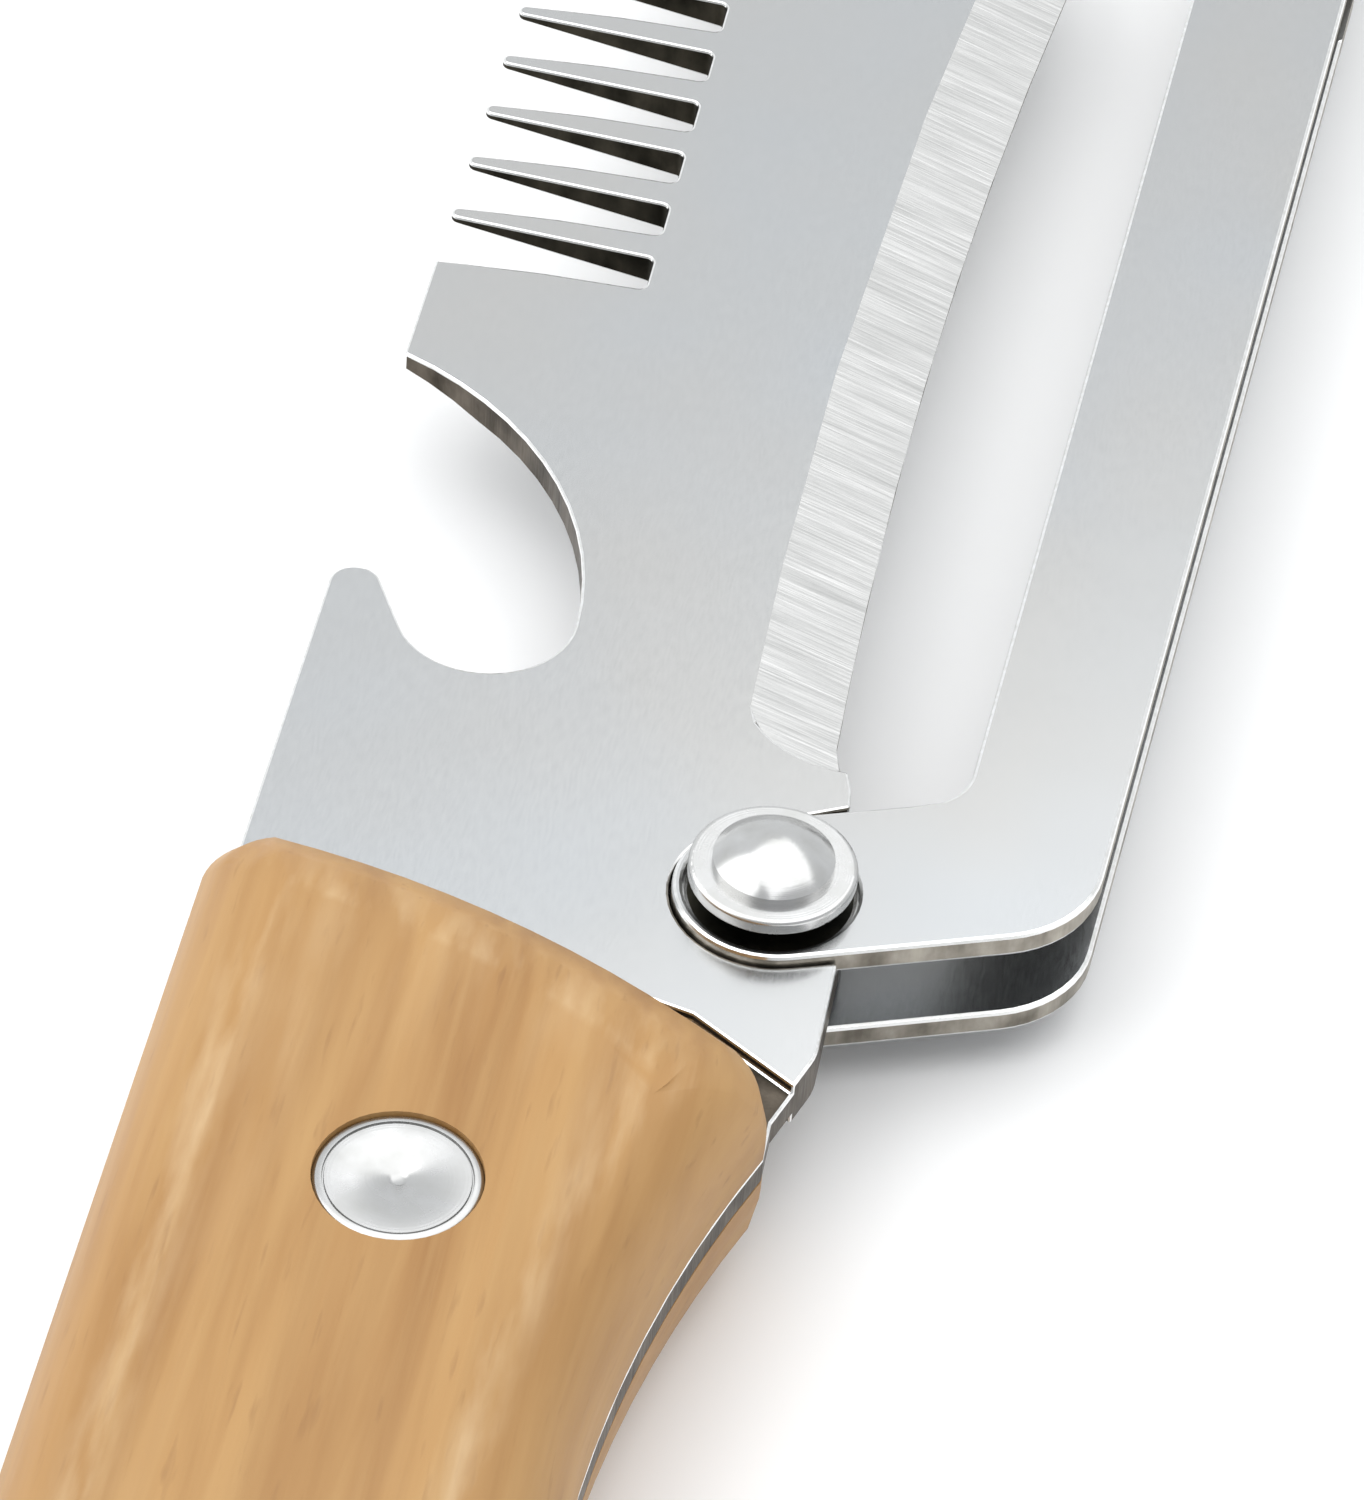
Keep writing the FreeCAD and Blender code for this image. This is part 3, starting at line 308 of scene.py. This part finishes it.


# %% [markdown]
# ## Broken edges
# A sheet's edges are broken with a file or a mop, and the thin strip that is left gets a
# painted highlight: its base colour is much brighter than the face's. Small nicks vary its
# brightness a little along its length.


# %% Broken edges
def highlit_edge(name, bright):
    """The thin line where an edge was broken, with a painted highlight: brighter than the face."""
    material, shader = new_material(name)
    nicks = noise(material, 2500, detail=3)
    wire(material, mixed(material, between(material, nicks, 0.3, 0.7),
                         (bright * 0.86, bright * 0.86, bright * 0.84, 1),
                         (bright, bright, bright, 1)), shader.inputs["Base Color"])
    wire(material, between(material, nicks, 0.3, 0.7, 0.14, 0.24), shader.inputs["Roughness"])
    shader.inputs["Metallic"].default_value = 1
    return material


plate_edge_highlight = highlit_edge("plate_edge_highlight", 0.9)
arm_edge_highlight = highlit_edge("arm_edge_highlight", 0.9)
dark_and_bright = (plate_wall, comb_shade_wall, arm_wall, arm_recess_shade, plate_edge_highlight, arm_edge_highlight)
print("walls and edges:", [material.name for material in dark_and_bright])

# %% [markdown]
# ## The ground bevel
# The knife edge is hollow-ground across, so its bevel is full of short lines from the
# polished face to the edge, uneven in depth and in bunches. Two noises are drawn out along
# the lines, one fine and one coarse. Both darken the metal a little and cut into it.

# %% Ground bevel
ground, shader = new_material("ground_bevel")
LINE_TURN = math.radians(-7)
fine_lines = noise(ground, 9000, stretch=(40, 1, 40), detail=3, distortion=0.3, turn=LINE_TURN)
bunches = noise(ground, 1500, stretch=(9, 1, 9), detail=4, distortion=0.6, turn=LINE_TURN)
lines = calculate(ground, "MULTIPLY", between(ground, fine_lines, 0.25, 0.75, 0.45, 1.0),
                  between(ground, bunches, 0.3, 0.75, 0.55, 1.0))
wire(ground, mixed(ground, between(ground, lines, 0.25, 0.85),
                   (0.52, 0.52, 0.51, 1), (0.78, 0.775, 0.765, 1)), shader.inputs["Base Color"])
wire(ground, between(ground, fine_lines, 0.3, 0.7, 0.34, 0.46), shader.inputs["Roughness"])
wire(ground, raised(ground, lines, 0.03 * MM), shader.inputs["Normal"])
shader.inputs["Metallic"].default_value = 1
print("bevel finish:", ground.name)

# %% [markdown]
# ## The blade plate
# Blade, comb, hook and tang are one sheet of steel. Its outline and bevel are exact in the
# solid, but a solid has knife-sharp rims. A copy of its mesh is welded, its flat faces are
# joined back to whole ones, and the Bevel modifier breaks the rims by about a tenth of a
# millimetre. The knife edge itself is left sharp. Each edge carries a bevel weight, so that
# the modifier can leave some alone, and it gives the new strips their own material slot.
# Shading by angle keeps the line between the flat face and the ground bevel crisp.


# %% Copying and breaking edges
WELD = 0.002 * MM
FLAT_WITHIN = math.radians(0.5)
SHARP_FROM = math.radians(35)
CRISP_FROM = math.radians(14)


def welded_copy(node, name, materials):
    """A clean mesh of a solid: corners welded and flat faces whole, with these materials."""
    mesh = nodes[node].data.copy()
    mesh.name = name
    mesh.materials.clear()
    piece = bpy.data.objects.new(name, mesh)
    bpy.context.collection.objects.link(piece)
    for material in materials:
        mesh.materials.append(material)
    only(piece)
    bpy.ops.mesh.customdata_custom_splitnormals_clear()
    bpy.ops.object.mode_set(mode="EDIT")
    bpy.ops.mesh.select_all(action="SELECT")
    bpy.ops.mesh.remove_doubles(threshold=WELD)
    bpy.ops.mesh.dissolve_limited(angle_limit=FLAT_WITHIN)
    bpy.ops.object.mode_set(mode="OBJECT")
    for face in mesh.polygons:
        face.material_index = 0
    print(name, "has", len(mesh.polygons), "faces and", len(mesh.vertices), "corners")
    return piece


def break_edges(piece, width, keep_sharp, slot):
    """Bevels every sharp edge, except where keep_sharp(middle) holds for its middle."""
    mesh = piece.data
    only(piece)
    bpy.ops.object.mode_set(mode="EDIT")
    bpy.ops.mesh.select_mode(type="EDGE")
    bpy.ops.mesh.select_all(action="DESELECT")
    bpy.ops.mesh.edges_select_sharp(sharpness=SHARP_FROM)
    bpy.ops.object.mode_set(mode="OBJECT")
    weights = mesh.attributes.new("bevel_weight_edge", "FLOAT", "EDGE")
    count = 0
    for edge in mesh.edges:
        ends = [mesh.vertices[i].co for i in edge.vertices]
        if edge.select and not keep_sharp((ends[0] + ends[1]) / 2):
            weights.data[edge.index].value = 1
            count += 1
    bevel = piece.modifiers.new("broken_edges", "BEVEL")
    bevel.width = width
    bevel.segments = 2
    bevel.limit_method = "WEIGHT"
    bevel.use_clamp_overlap = False
    # The strips made by the bevel take this slot, whose material is a painted edge highlight.
    bevel.material = slot
    bevel.miter_outer = "MITER_SHARP"
    bpy.ops.object.modifier_apply(modifier="broken_edges")
    bpy.ops.object.shade_smooth_by_angle(angle=CRISP_FROM)
    print(piece.name, "has", count, "edges broken and", len(mesh.polygons), "faces")


# %% [markdown]
# ## Which face gets which finish
# A face's own direction and place tell what it is. A steep face is a cut wall, dark partly
# as painted shade, and nearly black inside the comb as painted shade. A face that slopes
# gently is part of the ground bevel. A level face that lies below the front is the step at
# the heel, or the floor of the arm's seat; it is as rough as the walls and coloured dark as
# painted shade.

# %% The plate
FACE, WALL, EDGE, GRIND, COMB = range(5)
plate = welded_copy("blade_plate", "plate_piece",
                    [plate_satin, plate_wall, plate_edge_highlight, ground, comb_shade_wall])
TANG_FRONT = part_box("front_scale")[0].z
COMB_FOOT, COMB_ROOT = 41.5 * MM, -9.5 * MM
STEEP, LEVEL = 0.5, 0.98
for face in plate.data.polygons:
    up = face.normal.z
    at = face.center
    if abs(up) < STEEP:
        # Walls inside the comb get the nearly black painted shade.
        in_comb = at.y > COMB_FOOT and at.x < COMB_ROOT and abs(face.normal.x) < 0.95
        face.material_index = COMB if in_comb else WALL
    elif 0.8 < up < LEVEL:
        face.material_index = GRIND
    # Level faces below the front, at the heel's step beside the scale, take the dark wall colour as
    # painted shade.
    elif up > LEVEL and at.z < TANG_FRONT + 0.1 * MM:
        face.material_index = WALL
grind_faces = [f for f in plate.data.polygons if f.material_index == GRIND]
print("ground faces:", len(grind_faces))
EDGE_SIDE, EDGE_START, EDGE_TOP = 2 * MM, 15.5 * MM, 6.4 * MM
break_edges(plate, 0.12 * MM,
            lambda p: p.x > EDGE_SIDE and p.y > EDGE_START and p.z < EDGE_TOP, EDGE)
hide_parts("blade_plate")
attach(plate, "tool")

# %% [markdown]
# ## The arm
# The arm is folded from thinner sheet. Its walls are dark like the plate's, and the floor
# of the recess round its washer is nearly black, painted shade under the raised washer. Its
# long edges are broken wider than the plate's. The fold at its far end is already round, so
# a cut across the arm just below the fold gives the broken edges a place to stop.

# %% The arm
ARM_FACE, ARM_WALL, ARM_EDGE, ARM_DARK = range(4)
ARM_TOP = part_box("pick_arm")[1].z
arm = welded_copy("pick_arm", "arm_piece", [arm_satin, arm_wall, arm_edge_highlight, arm_recess_shade])
for face in arm.data.polygons:
    if abs(face.normal.z) < STEEP:
        face.material_index = ARM_WALL
    # The recess floor under the raised washer takes the nearly black painted shade.
    if face.normal.z > 0.9 and ARM_TOP - 0.5 * MM < face.center.z < ARM_TOP - 0.1 * MM:
        face.material_index = ARM_DARK
FOLD_FOOT = 74.5 * MM
only(arm)
bpy.ops.object.mode_set(mode="EDIT")
bpy.ops.mesh.select_all(action="SELECT")
bpy.ops.mesh.bisect(plane_co=(0, FOLD_FOOT, 0), plane_no=(0, 1, 0))
bpy.ops.object.mode_set(mode="OBJECT")
break_edges(arm, 0.17 * MM, lambda p: p.y > FOLD_FOOT - 0.1 * MM, ARM_EDGE)
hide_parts("pick_arm")
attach(arm, "arm")

# %% [markdown]
# ## The wooden scales
# The two scales are pale, straight-grained wood with an oiled finish. The grain runs along
# the grip in broad honey streaks with finer, darker dashes in them, and the raised edges
# are paler than the rest: partly rubbed wear and partly a painted highlight along their
# round-over. Each scale is cut through a different part of the plank, so the pattern is
# moved for the second one.


# %% Wood
def plank(name, moved):
    """Oiled pale wood with its grain along Y. `moved` picks another part of the plank."""
    material, shader = new_material(name)
    broad = noise(material, 380, stretch=(1, 18, 1.4), detail=4, distortion=0.5, centre=moved)
    streaks = noise(material, 900, stretch=(1, 18, 1), detail=4, distortion=0.4, centre=moved)
    clouds = noise(material, 90, stretch=(1, 2, 1), detail=3, centre=moved)
    dashes = noise(material, 2600, stretch=(1, 9, 1), detail=2, centre=moved)
    base = mixed(material, between(material, broad, 0.36, 0.66),
                 (0.31, 0.152, 0.045, 1), (0.435, 0.242, 0.086, 1))
    base = mixed(material, between(material, streaks, 0.42, 0.72, 0, 0.4), base,
                 (0.51, 0.32, 0.135, 1))
    base = mixed(material, between(material, clouds, 0.35, 0.7, 0, 0.3), base,
                 (0.477, 0.286, 0.116, 1))
    base = mixed(material, between(material, dashes, 0.62, 0.78, 0, 0.4), base,
                 (0.24, 0.115, 0.04, 1))
    facing = add(material, "ShaderNodeSeparateXYZ", {
        "Vector": add(material, "ShaderNodeTexCoord").outputs["Normal"]}).outputs["Z"]
    level = add(material, "ShaderNodeMath", {0: facing}, operation="ABSOLUTE").outputs[0]
    # The paler band where the face turns into the round-over is picked by the normal's tilt: partly
    # rubbed wear, partly a painted highlight.
    wear_and_highlight_noise = noise(material, 700, stretch=(1, 5, 1), detail=4)
    near_edge = calculate(material, "MULTIPLY", between(material, level, 0.88, 0.985),
                          between(material, level, 0.9999, 0.99))
    wear_and_highlight = calculate(material, "MULTIPLY", near_edge,
                       between(material, wear_and_highlight_noise, 0.42, 0.7, 0, 0.38))
    wire(material, mixed(material, wear_and_highlight, base, (0.72, 0.55, 0.34, 1)),
         shader.inputs["Base Color"])
    wire(material, between(material, streaks, 0.3, 0.7, 0.42, 0.55), shader.inputs["Roughness"])
    pores = calculate(material, "ADD", calculate(material, "MULTIPLY", dashes, 0.4), streaks)
    wire(material, raised(material, pores, 0.04 * MM, 0.6), shader.inputs["Normal"])
    shader.inputs["Specular IOR Level"].default_value = 0.4
    return material


for side, moved in (("front", (0.3, 0.2, 0.1)), ("rear", (0.8, 0.5, 0.4))):
    scale = welded_copy(side + "_scale", side + "_wood", [plank(side + "_plank", moved)])
    bpy.ops.object.shade_smooth_by_angle(angle=math.radians(35))
    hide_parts(side + "_scale")
    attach(scale, "tool")


# %% [markdown]
# ## Turned parts
# Rivets and washers are turned, so their faces carry fine rings about their own axis.

# %% Turned metal
def turned_metal(name, bright, rough, axis_x=0.0, axis_y=0.0, rings=9000, depth=0.004 * MM):
    """Turned steel: fine rings about an upright axis, with a few stains."""
    material, shader = new_material(name)
    where = add(material, "ShaderNodeTexCoord").outputs["Object"]
    centred = add(material, "ShaderNodeVectorMath", {0: where, 1: (axis_x, axis_y, 0)},
                  operation="SUBTRACT").outputs[0]
    flat = add(material, "ShaderNodeVectorMath", {0: centred, 1: (1, 1, 0)},
               operation="MULTIPLY").outputs[0]
    out = add(material, "ShaderNodeVectorMath", {0: flat}, operation="LENGTH").outputs["Value"]
    spread = add(material, "ShaderNodeCombineXYZ", {"X": out}).outputs[0]
    ringed = add(material, "ShaderNodeTexNoise", {"Vector": spread, "Scale": rings,
                                                  "Detail": 3}).outputs["Fac"]
    stains = noise(material, 700, detail=4)
    wire(material, mixed(material, between(material, stains, 0.3, 0.7),
                         (bright * 0.85, bright * 0.85, bright * 0.83, 1),
                         (bright, bright, bright, 1)), shader.inputs["Base Color"])
    wire(material, between(material, stains, 0.3, 0.7, rough + 0.05, rough - 0.03),
         shader.inputs["Roughness"])
    wire(material, raised(material, ringed, depth), shader.inputs["Normal"])
    shader.inputs["Metallic"].default_value = 1
    return material


pivot_low, pivot_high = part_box("pivot_rivet")
pivot_x = (pivot_low.x + pivot_high.x) / 2
pivot_y = (pivot_low.y + pivot_high.y) / 2
washer_steel = turned_metal("washer_finish", 0.66, 0.26, pivot_x, pivot_y)
rivet_steel = turned_metal("pivot_finish", 0.6, 0.2, pivot_x, pivot_y)
for name in ("front_washer", "rear_washer", "front_collar", "rear_spacer"):
    nodes[name].data.materials.clear()
    nodes[name].data.materials.append(washer_steel)
nodes["pivot_rivet"].data.materials.clear()
nodes["pivot_rivet"].data.materials.append(rivet_steel)
# Painted shade: the front collar sits in the shaded gap under the washer and is coloured nearly
# black.
collar_shade = turned_metal("collar_painted_shade", 0.03, 0.4, pivot_x, pivot_y)
nodes["front_collar"].data.materials.clear()
nodes["front_collar"].data.materials.append(collar_shade)
print("pivot finishes:", washer_steel.name, rivet_steel.name, collar_shade.name)

# %% [markdown]
# ## The rivets of the grip
# Each rivet of the grip is a hollow sleeve with a broad head, closed from behind by a post.
# Its face has a bright rounded rim, a fine dark groove, a duller disc and a small centre
# mark. The head starts as a cylinder. Each Inset of its top face draws the next ring, and
# the inset's depth lowers or raises it. The stem and its bore are drawn out of the bottom
# face in the same way. One sleeve is made, and then copied for the other two rivets.


# %% A sleeve
def pick_face(piece, top):
    """Selects the piece's highest or lowest level face, in edit mode."""
    bpy.ops.object.mode_set(mode="OBJECT")
    mesh = piece.data
    for item in list(mesh.vertices) + list(mesh.edges) + list(mesh.polygons):
        item.select = False
    level = [face for face in mesh.polygons if abs(face.normal.z) > 0.99 and len(face.vertices) > 8]
    chosen = max(level, key=lambda face: face.center.z if top else -face.center.z)
    chosen.select = True
    bpy.ops.object.mode_set(mode="EDIT")
    bpy.ops.mesh.select_mode(type="FACE")


HEAD_R, HEAD_THICK, STEM_R, BORE_R = 3.25 * MM, 1.2 * MM, 2.2 * MM, 1.3 * MM
RIM_RISE = 0.2 * MM
sleeve_low, sleeve_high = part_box("front_rivet_sleeve")
sleeve_x, sleeve_y = (sleeve_low.x + sleeve_high.x) / 2, (sleeve_low.y + sleeve_high.y) / 2
bpy.ops.mesh.primitive_cylinder_add(
    vertices=96, radius=HEAD_R, depth=HEAD_THICK - RIM_RISE,
    location=(sleeve_x, sleeve_y, sleeve_high.z - HEAD_THICK / 2 - RIM_RISE / 2))
sleeve = bpy.context.object
sleeve.name = "front_sleeve_piece"
only(sleeve)
bpy.ops.object.transform_apply(location=True)
pick_face(sleeve, True)
ROUNDED_RIM = [(0.08, 0.12), (0.1, 0.08)]
FLAT_AND_GROOVE = [(0.22, 0.0), (0.03, -0.12), (0.04, 0.0), (0.03, 0.09)]
DISC_AND_MARK = [(2.3, 0.0), (0.12, -0.1), (0.15, -0.03)]
for inward, rise in ROUNDED_RIM + FLAT_AND_GROOVE + DISC_AND_MARK:
    bpy.ops.mesh.inset(thickness=inward * MM, depth=rise * MM, use_even_offset=False)
pick_face(sleeve, False)
bpy.ops.mesh.inset(thickness=HEAD_R - STEM_R, depth=0)
bpy.ops.mesh.extrude_region_move(TRANSFORM_OT_translate={
    "value": (0, 0, sleeve_low.z - (sleeve_high.z - HEAD_THICK))})
bpy.ops.mesh.inset(thickness=STEM_R - BORE_R, depth=0)
bpy.ops.mesh.extrude_region_move(TRANSFORM_OT_translate={
    "value": (0, 0, sleeve_high.z - HEAD_THICK - sleeve_low.z)})
bpy.ops.object.mode_set(mode="OBJECT")
bpy.ops.object.shade_smooth_by_angle(angle=math.radians(40))
height = round(sleeve.dimensions.z / MM, 2)
print("sleeve faces:", len(sleeve.data.polygons), "height in mm:", height)

# %% [markdown]
# ## Copies of the sleeve
# A copy gets its own mesh, is moved to its place and then has that move applied, so that
# its object sits at the origin again. The post behind each sleeve keeps its exact solid.

# %% All the rivets of the grip
for place in ("front", "middle", "rear"):
    low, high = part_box(place + "_rivet_sleeve")
    x, y = (low.x + high.x) / 2, (low.y + high.y) / 2
    metal = turned_metal(place + "_rivet_finish", 0.56, 0.28, x, y)
    piece = sleeve
    if place != "front":
        piece = bpy.data.objects.new(place + "_sleeve_piece", sleeve.data.copy())
        bpy.context.collection.objects.link(piece)
        piece.location = (x - sleeve_x, y - sleeve_y, 0)
        only(piece)
        bpy.ops.object.transform_apply(location=True)
    piece.data.materials.clear()
    piece.data.materials.append(metal)
    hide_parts(place + "_rivet_sleeve")
    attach(piece, "tool")
    nodes[place + "_rivet_post"].data.materials.clear()
    nodes[place + "_rivet_post"].data.materials.append(metal)
    print(piece.name, "at y =", round(y / MM, 2), "mm")

# %% [markdown]
# ## Sizes
# The size of the dressed tool is printed. It should agree with the size of the exact solids,
# because the dressing only takes away a little along the edges.

# %% Sizes and the last line
low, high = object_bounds()
print("visual size in mm:", [round(x / MM, 2) for x in high - low])
